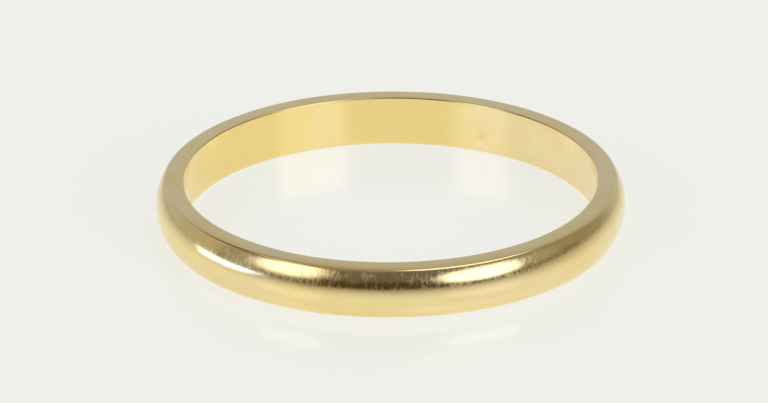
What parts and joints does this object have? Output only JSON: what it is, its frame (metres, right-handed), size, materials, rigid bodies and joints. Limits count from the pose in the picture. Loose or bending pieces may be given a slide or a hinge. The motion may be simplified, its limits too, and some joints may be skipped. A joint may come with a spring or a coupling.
{
  "type": "wedding band",
  "caption": "Plain narrow wedding band in polished yellow gold: D-shaped section with a low dome, flat side walls and a smooth bore, closed by a soldered joint.",
  "frame": {"origin": "centre of the finger bore, halfway across the band's width", "axes": "+Z along the finger bore, square to the ring's plane; +Y away from the viewer and +X to the right when the ring lies flat, as in the reference view; the soldered joint is on the -Y side"},
  "size_m": [0.0192, 0.0192, 0.002],
  "materials": {
    "gold_polished": "polished, with fine hairline wear",
    "gold_solder": "polished, slightly paler than the strip"
  },
  "bodies": {
    "root": {"band": "gold_polished", "solder_joint": "gold_solder"}
  },
  "joints": []
}
